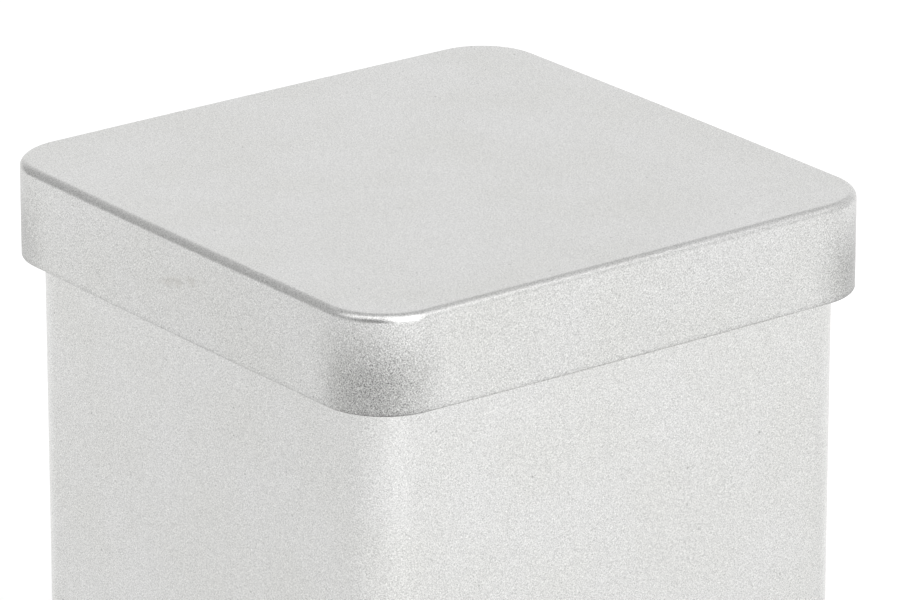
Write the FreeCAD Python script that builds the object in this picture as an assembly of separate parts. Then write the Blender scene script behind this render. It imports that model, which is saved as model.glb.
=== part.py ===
"""Square tinplate box with a slip lid, shut. Millimetres, +Z up.

The origin is the centre of the box's footprint, on the surface that the box stands on. Three pressed
pieces of tinplate make it: a lid with a folded hem, a body with a rolled rim under the lid, and a bottom
end whose seam stands a little proud and carries the box. The box is shut, so its body is filled solid.
"""

import FreeCAD
import Part

import math
import os

# Overall sizes
lid_width = 76.0  # across the lid, from the middle of one side to the middle of the opposite one
box_height = 92.0  # from the foot of the bottom seam to the top of the lid
sheet = 0.25  # tinplate with its lacquer

# Plan of the lid, which every other outline follows at its own inset
lid_corner_radius = 8.0
side_bow = 0.25  # how far the middle of a side stands out from its ends

# Lid
skirt_height = 12.2
lid_edge_radius = 1.0  # from the flat panel to the skirt
hem_height = 2.4  # the strip of skirt that is folded back inside
hem_gap = 0.15  # between the fold and the skirt

# Body
body_inset = 2.8  # from the lid's skirt to the body's wall
rim_height = 2.2
slip_clearance = 0.15  # between the hem and the rim that it slips over

# Bottom end
seam_height = 2.7
seam_proud = 0.9  # how far the seam stands out from the body's wall
seam_round = 0.4

# A folded or rolled edge is rounded by this share of its thickness, which leaves a thin flat between
# its two rounds.
edge_share = 0.48

# Worked out from the sizes above
half_width = lid_width / 2
hem_thickness = 2 * sheet + hem_gap
rim_inset = hem_thickness + slip_clearance
lid_underside = box_height - sheet
skirt_foot = box_height - skirt_height
seam_inset = body_inset - seam_proud
panel_inset = body_inset + 2 * sheet  # the body's wall and the end's own upright stand between them
panel_underside = seam_height - sheet  # recessed, so that only the seam touches the table

side_half_chord = half_width - lid_corner_radius
side_radius = (side_half_chord**2 + side_bow**2) / (2 * side_bow)
side_centre = half_width - side_radius
# A corner's centre lies on the diagonal, where its arc runs smoothly into the arcs of both sides.
centre_reach = side_radius - lid_corner_radius
corner_centre = (side_centre + math.sqrt(2 * centre_reach**2 - side_centre**2)) / 2
side_angle = math.atan2(corner_centre, corner_centre - side_centre)


def outline(inset, z):
    """The lid's plan moved in by inset, at height z: four bowed sides and four corner arcs."""

    def at(centre_x, centre_y, radius, angle):
        return FreeCAD.Vector(
            centre_x + radius * math.cos(angle), centre_y + radius * math.sin(angle), z
        )

    side = [at(side_centre, 0, side_radius - inset, a) for a in (-side_angle, 0, side_angle)]
    corner = [
        at(corner_centre, corner_centre, lid_corner_radius - inset, a)
        for a in (side_angle, math.pi / 4, math.pi / 2 - side_angle)
    ]
    quarter = [Part.Arc(*side).toShape(), Part.Arc(*corner).toShape()]
    edges = []
    for turn in range(4):
        for edge in quarter:
            turned = edge.copy()
            turned.rotate(FreeCAD.Vector(0, 0, z), FreeCAD.Vector(0, 0, 1), 90 * turn)
            edges.append(turned)
    return Part.Wire(edges)


def block(inset, foot, top):
    """A solid with the plan at that inset, from height foot to height top."""
    return Part.Face(outline(inset, foot)).extrude(FreeCAD.Vector(0, 0, top - foot))


def rounded(solid, z, radius):
    """The solid with its edges at height z rounded."""
    near = 1e-6
    edges = [
        e for e in solid.Edges if abs(e.BoundBox.ZMin - z) < near and abs(e.BoundBox.ZMax - z) < near
    ]
    return solid.makeFillet(radius, edges)


def make_lid():
    """A drawn cap: flat panel, rounded edge, skirt, and a hem folded back inside."""
    shell = rounded(block(0, skirt_foot, box_height), box_height, lid_edge_radius)
    inside = block(sheet, skirt_foot, lid_underside)
    inside = rounded(inside, lid_underside, lid_edge_radius - sheet)
    fold = block(sheet, skirt_foot, skirt_foot + hem_height)
    fold = fold.cut(block(hem_thickness, skirt_foot, skirt_foot + hem_height))
    lid = shell.cut(inside).fuse(fold).removeSplitter()
    return rounded(lid, skirt_foot, edge_share * hem_thickness)


def make_body():
    """The walls, filled solid up to the underside of the lid, with the rim that the lid slips over."""
    rim_foot = lid_underside - rim_height
    rim = block(rim_inset, rim_foot, lid_underside)
    for z in (rim_foot, lid_underside):
        rim = rounded(rim, z, edge_share * rim_height)
    return block(body_inset, seam_height, lid_underside).fuse(rim).removeSplitter()


def make_bottom_end():
    """The end's seam all round, with its panel recessed inside."""
    end = rounded(block(seam_inset, 0, seam_height), seam_height, seam_round)
    end = end.cut(block(panel_inset, 0, panel_underside))
    return rounded(end, 0, seam_round)


os.makedirs("parts", exist_ok=True)
for node, shape in (("lid", make_lid()), ("body", make_body()), ("bottom_end", make_bottom_end())):
    solid = shape.Solids[0]
    print(node, "solids", len(shape.Solids), "valid", solid.isValid(), "volume", round(solid.Volume, 1))
    solid.exportStep(f"parts/{node}.step")
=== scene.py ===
"""Square box of satin tinplate with rounded corners and a slip lid, shut, in a plain white studio."""

import math

import bmesh
import bpy
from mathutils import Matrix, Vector


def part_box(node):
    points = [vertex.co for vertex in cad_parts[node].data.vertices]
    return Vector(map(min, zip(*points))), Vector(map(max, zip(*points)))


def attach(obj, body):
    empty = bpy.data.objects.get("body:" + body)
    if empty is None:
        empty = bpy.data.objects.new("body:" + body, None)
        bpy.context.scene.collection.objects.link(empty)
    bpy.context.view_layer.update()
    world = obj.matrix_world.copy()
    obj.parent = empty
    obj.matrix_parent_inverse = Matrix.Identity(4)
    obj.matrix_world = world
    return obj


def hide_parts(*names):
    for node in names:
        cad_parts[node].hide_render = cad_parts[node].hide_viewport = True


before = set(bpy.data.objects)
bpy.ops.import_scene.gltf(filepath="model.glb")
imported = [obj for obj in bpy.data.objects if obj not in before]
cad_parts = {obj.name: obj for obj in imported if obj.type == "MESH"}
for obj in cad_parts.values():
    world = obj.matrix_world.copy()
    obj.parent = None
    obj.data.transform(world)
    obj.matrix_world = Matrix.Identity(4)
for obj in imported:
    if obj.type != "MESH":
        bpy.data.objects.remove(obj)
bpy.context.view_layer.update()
mm = 0.001

# --- Body ---------------------------------------------------------------------------------------------
# A strip of tinplate wrapped round a square former with rounded corners, its ends locked together. The
# top edge is rolled outwards into a bead, which stiffens it and which the lid's skirt slips over.

body_low, body_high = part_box("body")
lid_low, lid_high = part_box("lid")
half_width = lid_high.x  # the lid is the widest piece, and every outline is set in from its plan
plan_bow = 0.25 * mm  # the middle of a side stands out this far from its ends
corner_radius = 8.0 * mm
wall_inset = 2.8 * mm
bead_inset = half_width - body_high.x
bead_radius = 1.1 * mm
even_inset = 4.0 * mm  # outlines down to this inset are even all round
plan_points = 600


def add(tree, kind, inputs=(), **settings):
    """Adds a node with its settings. An input is a value, or the node or socket it is linked from."""
    node = tree.nodes.new(kind)
    for name, value in settings.items():
        setattr(node, name, value)
    for socket, value in dict(inputs).items():
        if isinstance(value, bpy.types.Node):
            value = value.outputs[0]
        if isinstance(value, bpy.types.NodeSocket):
            tree.links.new(value, node.inputs[socket])
        else:
            node.inputs[socket].default_value = value
    return node


def make_press():
    """The tree that turns a profile of (inset, stretch and painted shade, height) into a shape on the
    square plan.
    """
    tree = bpy.data.node_groups.new("press_on_square_plan", "GeometryNodeTree")
    tree.interface.new_socket("Geometry", in_out="OUTPUT", socket_type="NodeSocketGeometry")
    tree.interface.new_socket("Geometry", in_out="INPUT", socket_type="NodeSocketGeometry")
    for name in ("Half Width", "Bow", "Corner Radius", "Even Inset", "Draw Top", "Draw Depth"):
        tree.interface.new_socket(name, in_out="INPUT", socket_type="NodeSocketFloat")
    tree.interface.new_socket("Points", in_out="INPUT", socket_type="NodeSocketInt")
    tree.interface.new_socket("Material", in_out="INPUT", socket_type="NodeSocketMaterial")
    given = add(tree, "NodeGroupInput").outputs

    # The plan: a square with rounded corners, whose sides are bowed out by a parabola.
    end = add(tree, "ShaderNodeMath", {0: given["Half Width"], 1: given["Bow"]}, operation="SUBTRACT")
    side = add(tree, "ShaderNodeMath", {0: end, 1: 2.0}, operation="MULTIPLY")
    square = add(tree, "GeometryNodeCurvePrimitiveQuadrilateral", {"Width": side, "Height": side})
    corner_points = 48
    rounding = {"Curve": square, "Count": corner_points, "Radius": given["Corner Radius"]}
    rounded = add(tree, "GeometryNodeFilletCurve", rounding, mode="POLY")
    plan = add(tree, "GeometryNodeResampleCurve", {"Curve": rounded, "Count": given["Points"]})
    place = add(tree, "GeometryNodeInputPosition")
    ratio = add(tree, "ShaderNodeMath", {0: 1.0, 1: end}, operation="DIVIDE")
    along = add(tree, "ShaderNodeVectorMath", {0: place, "Scale": ratio}, operation="SCALE")
    square_of = add(tree, "ShaderNodeVectorMath", {0: along, 1: along}, operation="MULTIPLY")
    parts = add(tree, "ShaderNodeSeparateXYZ", {0: square_of})
    crossed = add(tree, "ShaderNodeCombineXYZ", {0: parts.outputs[1], 1: parts.outputs[0]})
    arch = add(tree, "ShaderNodeVectorMath", {0: (1, 1, 0), 1: crossed}, operation="SUBTRACT")
    swell = add(tree, "ShaderNodeVectorMath", {0: along, 1: arch}, operation="MULTIPLY")
    push = add(tree, "ShaderNodeVectorMath", {0: swell, "Scale": given["Bow"]}, operation="SCALE")
    bowed = add(tree, "GeometryNodeSetPosition", {"Geometry": plan, "Offset": push})
    bowed = add(tree, "GeometryNodeSetCurveNormal", {0: bowed}, mode="Z_UP")
    rail = add(tree, "GeometryNodeCaptureAttribute", domain="POINT")
    rail.capture_items.new("VECTOR", "Plan")
    rail.capture_items.new("VECTOR", "Outward")
    tree.links.new(bowed.outputs[0], rail.inputs[0])
    tree.links.new(add(tree, "GeometryNodeInputPosition").outputs[0], rail.inputs[1])
    tree.links.new(add(tree, "GeometryNodeInputNormal").outputs[0], rail.inputs[2])
    on_plan, outward = rail.outputs[1], rail.outputs[2]

    # The profile goes round the plan, and each point remembers its inset, its stretch and painted
    # shade, and its height.
    section = add(tree, "GeometryNodeCaptureAttribute", domain="POINT")
    section.capture_items.new("VECTOR", "Section")
    tree.links.new(given["Geometry"], section.inputs[0])
    tree.links.new(add(tree, "GeometryNodeInputPosition").outputs[0], section.inputs[1])
    profile = add(tree, "GeometryNodeMeshToCurve", {0: section})
    swept = add(tree, "GeometryNodeCurveToMesh", {0: rail, 1: profile})
    drawn = add(tree, "ShaderNodeSeparateXYZ", {0: section.outputs[1]})
    inset, strain, height = drawn.outputs[0], drawn.outputs[1], drawn.outputs[2]

    # Down to the even inset a ring keeps its distance from the plan, and further in it shrinks to
    # the middle.
    even = add(tree, "ShaderNodeMath", {0: inset, 1: given["Even Inset"]}, operation="MINIMUM")
    step = add(tree, "ShaderNodeVectorMath", {0: outward, "Scale": even}, operation="SCALE")
    ring = add(tree, "ShaderNodeVectorMath", {0: on_plan, 1: step}, operation="SUBTRACT")
    beyond = add(tree, "ShaderNodeMath", {0: inset, 1: even}, operation="SUBTRACT")
    reach = add(tree, "ShaderNodeMath", {0: given["Half Width"], 1: even}, operation="SUBTRACT")
    part = add(tree, "ShaderNodeMath", {0: beyond, 1: reach}, operation="DIVIDE")
    left = add(tree, "ShaderNodeMath", {0: 1.0, 1: part}, operation="SUBTRACT")
    ring = add(tree, "ShaderNodeVectorMath", {0: ring, "Scale": left}, operation="SCALE")

    # A drawn skirt is stretched round its corners, more the lower it is, down to the draw depth. The
    # stretch grows from a little before the corner, both counted in corner radii from the side's plan.
    # It is added to the stored stretch and painted shade, which paints the corners darker towards the
    # hem.
    stretch_start, stretch_full = 1.5, 0.4
    below = add(tree, "ShaderNodeMath", {0: given["Draw Top"], 1: height}, operation="SUBTRACT")
    drop = {0: below, 1: given["Draw Depth"]}
    drop = add(tree, "ShaderNodeMath", drop, operation="DIVIDE", use_clamp=True)
    from_middle = add(tree, "ShaderNodeVectorMath", {0: on_plan}, operation="ABSOLUTE")
    from_middle = add(tree, "ShaderNodeSeparateXYZ", {0: from_middle})
    nearer = {0: from_middle, 1: from_middle.outputs[1]}
    nearer = add(tree, "ShaderNodeMath", nearer, operation="MINIMUM")
    corner_start = {0: given["Corner Radius"], 1: -stretch_start, 2: given["Half Width"]}
    corner_start = add(tree, "ShaderNodeMath", corner_start, operation="MULTIPLY_ADD")
    corner_full = {0: given["Corner Radius"], 1: -stretch_full, 2: given["Half Width"]}
    corner_full = add(tree, "ShaderNodeMath", corner_full, operation="MULTIPLY_ADD")
    turned = {"Value": nearer, "From Min": corner_start, "From Max": corner_full}
    turned = add(tree, "ShaderNodeMapRange", turned, interpolation_type="SMOOTHSTEP")
    stretch = {0: turned, 1: drop, 2: strain}
    strain = add(tree, "ShaderNodeMath", stretch, operation="MULTIPLY_ADD")

    level = add(tree, "ShaderNodeCombineXYZ", {2: height})
    final = add(tree, "ShaderNodeVectorMath", {0: ring, 1: level}, operation="ADD")
    shaped = add(tree, "GeometryNodeSetPosition", {"Geometry": swept, "Position": final})
    note = {"Geometry": shaped, "Name": "strain", "Value": strain}
    marked = add(tree, "GeometryNodeStoreNamedAttribute", note, data_type="FLOAT", domain="POINT")
    weld = 0.001 * mm
    closed = add(tree, "GeometryNodeMergeByDistance", {"Geometry": marked, "Distance": weld})
    smooth = add(tree, "GeometryNodeSetShadeSmooth", {"Geometry": closed})
    real = add(tree, "GeometryNodeRealizeInstances", {"Geometry": smooth})
    coated = add(tree, "GeometryNodeSetMaterial", {"Geometry": real, "Material": given["Material"]})
    add(tree, "NodeGroupOutput", {0: coated})
    return tree


press = make_press()


def arc(inset, height, radius, start, end, steps=10, strain=(0, 0)):
    """Profile points on an arc about (inset, height); angles in degrees, 0 outwards and 90 up."""
    points = []
    for i in range(steps + 1):
        turn = math.radians(start + (end - start) * i / steps)
        here = strain[0] + (strain[1] - strain[0]) * i / steps
        points.append(Vector((inset - radius * math.cos(turn), here, height + radius * math.sin(turn))))
    return points


def line(start, end, steps=1):
    """Profile points from start towards end, which is left out."""
    return [Vector(start).lerp(Vector(end), i / steps) for i in range(steps)]


def put(name, data):
    """A new object of the scene, at the origin and unturned."""
    item = bpy.data.objects.new(name, data)
    bpy.context.scene.collection.objects.link(item)
    return item


def pressed(name, profile, material, draw_depth=0.0):
    """A piece pressed to that profile on the square plan, as a plain closed mesh."""
    drawing = bpy.data.meshes.new(name + "_profile")
    drawing.from_pydata(profile, [(i, i + 1) for i in range(len(profile) - 1)], [])
    former = put(name + "_profile", drawing)
    modifier = former.modifiers.new("press", "NODES")
    modifier.node_group = press
    sizes = {
        "Half Width": half_width,
        "Bow": plan_bow,
        "Corner Radius": corner_radius,
        "Even Inset": even_inset,
        "Draw Top": lid_high.z if draw_depth else 0.0,
        "Draw Depth": draw_depth or 1.0,
        "Points": plan_points,
        "Material": material,
    }
    for item in press.interface.items_tree:
        if item.in_out == "INPUT" and item.name in sizes:
            modifier[item.identifier] = sizes[item.name]
    evaluated = former.evaluated_get(bpy.context.evaluated_depsgraph_get())
    mesh = bpy.data.meshes.new_from_object(evaluated)
    bpy.data.objects.remove(former)
    bpy.data.meshes.remove(drawing)

    whole = bmesh.new()
    whole.from_mesh(mesh)
    bmesh.ops.recalc_face_normals(whole, faces=whole.faces)
    whole.to_mesh(mesh)
    whole.free()
    mesh.name = name
    return put(name, mesh)


def linear(colour):
    """An sRGB hex colour as the linear RGBA that a shader takes."""
    parts = [int(colour[i : i + 2], 16) / 255 for i in (1, 3, 5)]
    return [p / 12.92 if p <= 0.04045 else ((p + 0.055) / 1.055) ** 2.4 for p in parts] + [1]


def emptied(owner):
    """The node tree of a material or a world, with nothing in it."""
    owner.use_nodes = True
    owner.node_tree.nodes.clear()
    return owner.node_tree


def satin_tinplate(name, smudge=None):
    """Tinplate with a stone finish: cold-rolled steel with a matt tin coating, which breaks reflections
    up into a fine, even sparkle. Where the stored stretch and painted shade is higher, the colour is
    darkened with painted shade and the grain and its relief are deeper.
    A smudge, if there is one, has a place, a slant and half its length each way."""
    material = bpy.data.materials.new(name)
    tree = emptied(material)
    # The patterns are turned, so that no wall of the box lies along their cells.
    upright = add(tree, "ShaderNodeTexCoord").outputs["Object"]
    place = add(tree, "ShaderNodeMapping", {"Vector": upright, "Rotation": (0.6, 0.4, 0.3)})
    strain = add(tree, "ShaderNodeAttribute", attribute_name="strain").outputs["Fac"]

    # The grain is drawn 0.07 mm across so that it shows. The real one is taken to be about 0.05 mm.
    grain_width = 0.07 * mm
    grain = {"Vector": place, "Scale": 0.5 / grain_width, "Detail": 1.0, "Roughness": 0.6}
    grain = add(tree, "ShaderNodeTexNoise", grain)
    # Faint clouds in the coating are a little darker and warmer.
    cloud_width = 6.0 * mm
    clouds = {"Vector": place, "Scale": 0.5 / cloud_width, "Detail": 3.0}
    clouds = add(tree, "ShaderNodeTexNoise", clouds)

    # The grain lightens and darkens the tin, the more so where the stretch and painted shade is higher.
    full_strain = 2.0
    depth = {"Value": strain, "From Max": full_strain, "To Min": 1.2, "To Max": 3.9}
    depth = add(tree, "ShaderNodeMapRange", depth)
    fleck = add(tree, "ShaderNodeMath", {0: grain, 1: 0.5}, operation="SUBTRACT")
    light = {0: fleck, 1: depth, 2: 1.0}
    light = add(tree, "ShaderNodeMath", light, operation="MULTIPLY_ADD")
    warmth = {"Value": clouds, "From Min": 0.35, "From Max": 0.65}
    warmth = add(tree, "ShaderNodeMapRange", warmth)
    tin = {0: warmth, 6: linear("#dcdcdb"), 7: linear("#dadad8")}
    tin = add(tree, "ShaderNodeMix", tin, data_type="RGBA").outputs[2]
    if smudge:
        # Blots of a thin, brownish film of grease.
        blot_width = 1.2 * mm
        spread = add(tree, "ShaderNodeMapping", {"Vector": upright, **smudge}, vector_type="TEXTURE")
        spread = add(tree, "ShaderNodeVectorMath", {0: spread}, operation="LENGTH").outputs["Value"]
        spread = add(tree, "ShaderNodeMapRange", {"Value": spread, "From Min": 1.0, "From Max": 0.6})
        film = {"Vector": place, "Scale": 0.5 / blot_width, "Detail": 2.0}
        film = add(tree, "ShaderNodeTexNoise", film)
        film = {"Value": film, "From Min": 0.4, "From Max": 0.52, "To Max": 0.17}
        film = add(tree, "ShaderNodeMapRange", film)
        film = add(tree, "ShaderNodeMath", {0: spread, 1: film}, operation="MULTIPLY")
        tin = {0: film, 6: tin, 7: linear("#9a9284")}
        tin = add(tree, "ShaderNodeMix", tin, data_type="RGBA").outputs[2]
    # Painted shade: the colour is darkened where the stored stretch and painted shade is higher, a
    # little on the walls, more at the lid's corners towards the hem, and most along the hem's fold.
    painted_shade = {"Value": strain, "From Max": full_strain, "To Min": 1.0, "To Max": 0.32}
    painted_shade = add(tree, "ShaderNodeMapRange", painted_shade)
    # Pinholes and specks of dirt in the coating, up to 0.3 mm across and about 10 mm apart. They lie
    # in the middle of cells in space, and the sheet cuts through few of them.
    speck_cell = 3.2 * mm
    specks = add(tree, "ShaderNodeTexVoronoi", {"Vector": place, "Scale": 1 / speck_cell})
    speck = {"Value": specks.outputs["Distance"], "From Min": 0.03, "From Max": 0.055, "To Min": 0.65}
    speck = add(tree, "ShaderNodeMapRange", speck)
    shade = add(tree, "ShaderNodeMath", {0: painted_shade, 1: light}, operation="MULTIPLY")
    shade = add(tree, "ShaderNodeMath", {0: shade, 1: speck}, operation="MULTIPLY")
    coat = {0: tin, "Scale": shade}
    coat = add(tree, "ShaderNodeVectorMath", coat, operation="SCALE")
    rough = add(tree, "ShaderNodeMapRange", {"Value": clouds, "To Min": 0.28, "To Max": 0.33})
    relief = add(tree, "ShaderNodeMapRange", {"Value": strain, "To Min": 0.35, "To Max": 0.8})
    grain_height = 0.05 * mm
    bump = {"Height": grain, "Strength": relief, "Distance": grain_height}
    bump = add(tree, "ShaderNodeBump", bump)
    finish = {"Base Color": coat, "Metallic": 1.0, "Roughness": rough, "Normal": bump}
    shader = add(tree, "ShaderNodeBsdfPrincipled", finish)
    add(tree, "ShaderNodeOutputMaterial", {0: shader})
    return material


middle = half_width  # a profile point inset by the half width is on the box's axis
bead_height = body_high.z - bead_radius
bead_centre = bead_inset + bead_radius
bead_start = -180 + math.degrees(math.acos((wall_inset - bead_centre) / bead_radius))
wall_strain = 0.09  # painted shade: the wall's colour is a little darker than the lid's panel, its grain a little deeper
bead = arc(bead_centre, bead_height, bead_radius, bead_start, 90, 16, (wall_strain, wall_strain))
wall_foot = (wall_inset, wall_strain, body_low.z)
body_profile = line((middle, 0, body_low.z), wall_foot, 6) + line(wall_foot, bead[0], 24) + bead
body_profile += line((wall_inset, 0, body_high.z), (middle, 0, body_high.z), 6)
body_profile += [(middle, 0, body_high.z)]
body = pressed("body_tinplate", body_profile, satin_tinplate("satin_tinplate_body"))
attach(body, "root")
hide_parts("body")

# --- Side seam ----------------------------------------------------------------------------------------
# The two ends of the body's strip, hooked together and hammered flat. Outside they show as a low band
# down the middle of the back, which runs into the bottom end's seam and up under the lid.

band_width = 4.0 * mm
band_height = 0.15 * mm
band_round = 0.3 * mm
band_root = 0.1 * mm  # it reaches this far into the wall
band_top = lid_low.z + 5.0 * mm
round_steps = 6
band_steps = 30

wall_y = half_width - wall_inset
section = [(-band_width / 2, -band_root)]
for i in range(round_steps + 1):
    turn = math.pi / 2 * i / round_steps
    edge = -band_width / 2 + band_round * (1 - math.cos(turn))
    section.append((edge, band_height * math.sin(turn)))
section += [(-x, out) for x, out in reversed(section)]
whole = bmesh.new()
for i in range(band_steps + 1):
    height = body_low.z + (band_top - body_low.z) * i / band_steps
    ring = [whole.verts.new((x, wall_y + out, height)) for x, out in section]
    if i:
        for j in range(len(section)):
            whole.faces.new((lower[j], ring[j], ring[j - 1], lower[j - 1]))
    else:
        whole.faces.new(ring)
    lower = ring
whole.faces.new(lower)
bmesh.ops.recalc_face_normals(whole, faces=whole.faces)
for face in whole.faces:
    face.smooth = len(face.verts) == 4
band_mesh = bpy.data.meshes.new("side_seam_tinplate")
whole.to_mesh(band_mesh)
whole.free()
band_mesh.materials.append(satin_tinplate("satin_tinplate_side_seam"))
band = put("side_seam_tinplate", band_mesh)
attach(band, "root")

# --- Bottom end ---------------------------------------------------------------------------------------
# A shallow pressed tray whose rim is folded together with the foot of the body's wall. The seam stands
# proud of the wall and carries the box; the panel inside it is recessed, so that it never rocks.

end_low, end_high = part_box("bottom_end")
seam_inset = half_width - end_high.x
seam_width = 1.4 * mm
seam_round = 0.4 * mm
sheet = 0.25 * mm

outer_round = seam_inset + seam_round
inner_round = seam_inset + seam_width - seam_round
seam_side = end_high.z - seam_round
seam_foot = end_low.z + seam_round
end_profile = line((middle, 0, end_high.z), (outer_round, 0, end_high.z), 6)
end_profile += arc(outer_round, seam_side, seam_round, 90, 0, 6)
end_profile += arc(outer_round, seam_foot, seam_round, 0, -90, 6)
end_profile += arc(inner_round, seam_foot, seam_round, -90, -180, 6)
panel_height = end_high.z - sheet
panel_middle = (middle, 0, panel_height)
# A shallow pressed ring stiffens the panel.
ring_inset = 11.0 * mm
ring_width = 3.0 * mm
ring_depth = 0.5 * mm
ring_margin = 1.0 * mm
ring_steps = 12
end_profile += line((seam_inset + seam_width, 0, panel_height), (ring_inset, 0, panel_height), 4)
for i in range(ring_steps + 1):
    fall = ring_depth * (1 - math.cos(math.tau * i / ring_steps)) / 2
    end_profile.append(Vector((ring_inset + ring_width * i / ring_steps, 0, panel_height - fall)))
ring_end = (ring_inset + ring_width + ring_margin, 0, panel_height)
end_profile += line(ring_end, panel_middle, 5) + [panel_middle]
bottom_end = pressed("bottom_end_tinplate", end_profile, satin_tinplate("satin_tinplate_bottom_end"))
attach(bottom_end, "root")
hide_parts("bottom_end")

# --- Lid ----------------------------------------------------------------------------------------------
# A cap drawn from one sheet: a flat panel, a tight round to the skirt, and the skirt's raw edge folded
# back inside as a hem. Drawing stretches the corners. The skirt, its corners towards the hem and the
# hem's fold are darkened with painted shade.

lid_edge_radius = 1.0 * mm
hem_height = 2.4 * mm
hem_thickness = 0.65 * mm
hem_round = hem_thickness / 2
draw_depth = 8.0 * mm
edge_margin = 0.2 * mm  # a narrow flat beside the round keeps its shading crisp
fade_height = 0.5 * mm  # the stretch and painted shade changes within this height, under the round and over the fold

edge_height = lid_high.z - lid_edge_radius
panel_rim = (lid_edge_radius + edge_margin, 0, lid_high.z)
# Painted shade: the skirt's colour is darker than the panel's, and its grain deeper.
skirt_strain = 0.21
fold_strain = 0.45  # where the fold starts; from there to its edge the painted shade rises to 1, a dark line along the hem
top_round = arc(lid_edge_radius, edge_height, lid_edge_radius, 90, 0, 14, (0, skirt_strain))
fold_height = lid_low.z + hem_round
outer_fold = arc(hem_round, fold_height, hem_round, 0, -45, 6, (fold_strain, 1))
inner_fold = arc(hem_round, fold_height, hem_round, -45, -180, 12, (1, 1))[1:]
hem_top = lid_low.z + hem_height
inner_round = arc(lid_edge_radius, edge_height, lid_edge_radius - sheet, 0, 90, 10)
lid_profile = line((middle, 0, lid_high.z), panel_rim, 10) + [panel_rim] + top_round
lid_profile += [(0, skirt_strain, edge_height - edge_margin)]
skirt_foot = (0, skirt_strain, fold_height + fade_height)
lid_profile += line((0, skirt_strain, edge_height - fade_height), skirt_foot, 16)
lid_profile += line(skirt_foot, outer_fold[0], 2) + outer_fold + inner_fold
lid_profile += [(hem_thickness, 0, hem_top), (sheet, 0, hem_top)] + inner_round
under = lid_high.z - sheet
under_rim = (lid_edge_radius + 0.3 * mm, 0, under)
under_middle = (middle, 0, under)
lid_profile += line(under_rim, under_middle, 6) + [under_middle]
# A faint smudge slants up the left side of the skirt, from back to front.
smudge = {
    "Location": (lid_low.x, -1.4 * mm, lid_high.z - 5.1 * mm),
    "Rotation": (math.radians(-15), 0, 0),
    "Scale": (1.0 * mm, 5.4 * mm, 0.8 * mm),
}
lid_coat = satin_tinplate("satin_tinplate_lid", smudge)
lid = pressed("lid_tinplate", lid_profile, lid_coat, draw_depth)
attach(lid, "root")
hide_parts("lid")

# --- Studio -------------------------------------------------------------------------------------------
# A wide sheet of white paper under the box, a tall soft box at the camera's right and a long one
# overhead, and a pale room whose far wall is white and which darkens towards the camera.

camera_azimuth = -37.14  # 0 looks along +Y and 90 along -X
camera_elevation = 19.96
camera_distance = 862 * mm
lens_length = 290.5  # in millimetres, on a sensor 36 mm wide
floor_radius = 1500 * mm


def heading(azimuth, elevation=0.0):
    """The direction from the box to a camera at that azimuth and elevation, in degrees."""
    turn, rise = math.radians(azimuth), math.radians(elevation)
    across = math.cos(rise)
    return Vector((math.sin(turn) * across, -math.cos(turn) * across, math.sin(rise)))


floor_mesh = bpy.data.meshes.new("floor")
whole = bmesh.new()
bmesh.ops.create_circle(whole, cap_ends=True, radius=floor_radius, segments=128)
whole.to_mesh(floor_mesh)
whole.free()
floor = put("floor", floor_mesh)

paper = bpy.data.materials.new("white_paper")
tree = emptied(paper)
rays = add(tree, "ShaderNodeLightPath").outputs
seen = {0: rays["Is Camera Ray"], 1: rays["Is Glossy Ray"]}
seen = add(tree, "ShaderNodeMath", seen, operation="ADD")
seen = add(tree, "ShaderNodeMath", {0: seen, 1: rays["Is Transmission Ray"]}, operation="ADD")
# The sheet glows with painted light: a lift to white for the camera and for the metal's
# reflections, strongest behind the box and at its rim, which the lamps reach less. The lift is less
# at both sides than in front of them. Each row is a direction, where the change in it begins and is
# full, and the change.
spot = add(tree, "ShaderNodeTexCoord").outputs["Object"]
share = 0.24
for azimuth, near, far, change in (
    (camera_azimuth + 180, 30 * mm, 105 * mm, 0.18),
    (camera_azimuth - 90, 90 * mm, 200 * mm, -0.08),
    (camera_azimuth - 65, 190 * mm, 270 * mm, 0.03),
    (camera_azimuth + 90, 90 * mm, 200 * mm, -0.08),
    (camera_azimuth + 65, 130 * mm, 230 * mm, 0.08),
):
    towards = {0: spot, 1: heading(azimuth)}
    towards = add(tree, "ShaderNodeVectorMath", towards, operation="DOT_PRODUCT")
    part = {"Value": towards.outputs["Value"], "From Min": near, "From Max": far, "To Max": change}
    part = add(tree, "ShaderNodeMapRange", part)
    share = add(tree, "ShaderNodeMath", {0: share, 1: part}, operation="ADD")
out = add(tree, "ShaderNodeVectorMath", {0: spot}, operation="LENGTH").outputs["Value"]
rim_near, rim_far, rim_change = 400 * mm, 1000 * mm, 0.2
out = {"Value": out, "From Min": rim_near, "From Max": rim_far, "To Max": rim_change}
out = add(tree, "ShaderNodeMapRange", out)
share = add(tree, "ShaderNodeMath", {0: share, 1: out}, operation="ADD")
lift = add(tree, "ShaderNodeMath", {0: seen, 1: share}, operation="MULTIPLY")
matt = add(tree, "ShaderNodeBsdfDiffuse", {"Color": linear("#e8e8e8")})
glow = add(tree, "ShaderNodeEmission", {"Strength": lift})
both = add(tree, "ShaderNodeAddShader", {0: matt, 1: glow})
add(tree, "ShaderNodeOutputMaterial", {0: both})
floor_mesh.materials.append(paper)

world = bpy.data.worlds.new("studio")
bpy.context.scene.world = world
tree = emptied(world)
direction = add(tree, "ShaderNodeTexCoord").outputs["Generated"]
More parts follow.
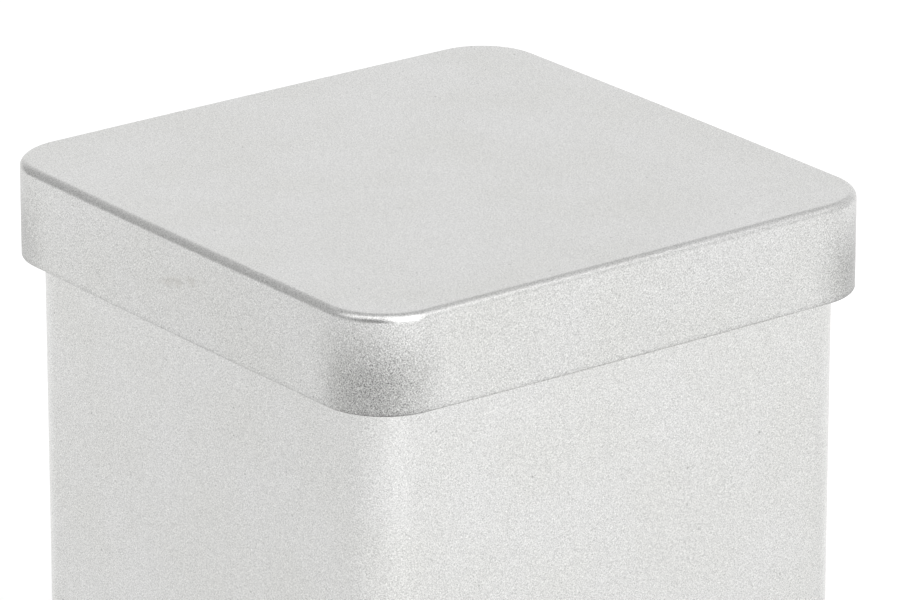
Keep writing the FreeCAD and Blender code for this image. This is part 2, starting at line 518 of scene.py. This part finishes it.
# Each wall changes the level by so much, growing from the first cosine to its middle to the second one.
level = 0.66
walls = (
    ("behind", camera_azimuth + 180, -5, 0.34, 0.77, 0.84),
    ("right", camera_azimuth + 106, 5, 0.20, 0.4, 0.95),
    ("left", camera_azimuth - 106, 5, -0.12, 0.4, 0.95),
    ("camera", camera_azimuth - 10, 20, -0.31, 0.6, 0.95),
)
fades = {}
for name, azimuth, elevation, change, wide, narrow in walls:
    towards = {0: direction, 1: heading(azimuth, elevation)}
    towards = add(tree, "ShaderNodeVectorMath", towards, operation="DOT_PRODUCT")
    fade = {"Value": towards.outputs["Value"], "From Min": wide, "From Max": narrow}
    fades[name] = add(tree, "ShaderNodeMapRange", fade, interpolation_type="SMOOTHSTEP")
    level = {0: fades[name], 1: change, 2: level}
    level = add(tree, "ShaderNodeMath", level, operation="MULTIPLY_ADD")
# The camera sees white all round, and the metal sees it in the wall behind.
rays = add(tree, "ShaderNodeLightPath").outputs
mirrored = {0: rays["Is Glossy Ray"], 1: rays["Is Transmission Ray"]}
mirrored = add(tree, "ShaderNodeMath", mirrored, operation="ADD")
seen = {0: mirrored, 1: fades["behind"], 2: rays["Is Camera Ray"]}
seen = add(tree, "ShaderNodeMath", seen, operation="MULTIPLY_ADD", use_clamp=True)
room = add(tree, "ShaderNodeBackground", {"Color": (1, 1, 1, 1), "Strength": level})
white = add(tree, "ShaderNodeBackground", {"Color": (1, 1, 1, 1), "Strength": 1.0})
shown = add(tree, "ShaderNodeMixShader", {0: seen, 1: room, 2: white})
add(tree, "ShaderNodeOutputWorld", {0: shown})

# The soft boxes point at the box, the one overhead from a little to the camera's side.
for name, azimuth, elevation, distance, width, height, radiance in (
    ("right_softbox", camera_azimuth + 35, 32, 1.0, 0.75, 0.85, 2.0),
    ("top_softbox", camera_azimuth, 68, 1.0, 2.2, 0.6, 0.85),
):
    place = heading(azimuth, elevation)
    softbox = bpy.data.lights.new(name, "AREA")
    softbox.shape = "RECTANGLE"
    softbox.size = width
    softbox.size_y = height
    softbox.energy = radiance * math.pi * width * height
    lamp = put(name, softbox)
    lamp.location = place * distance
    lamp.rotation_mode = "QUATERNION"
    lamp.rotation_quaternion = place.to_track_quat("Z", "Y")
    lamp.visible_camera = False

# The camera looks down at one corner through a long lens.
aim = Vector((-1.8 * mm, -5.2 * mm, 77.8 * mm))
back = heading(camera_azimuth, camera_elevation)
lens = bpy.data.cameras.new("camera")
lens.lens = lens_length
lens.sensor_width = 36
camera = put("camera", lens)
camera.location = aim + back * camera_distance
camera.rotation_mode = "QUATERNION"
camera.rotation_quaternion = (-back).to_track_quat("-Z", "Y")
bpy.context.scene.camera = camera
bpy.context.scene.view_settings.view_transform = "Standard"
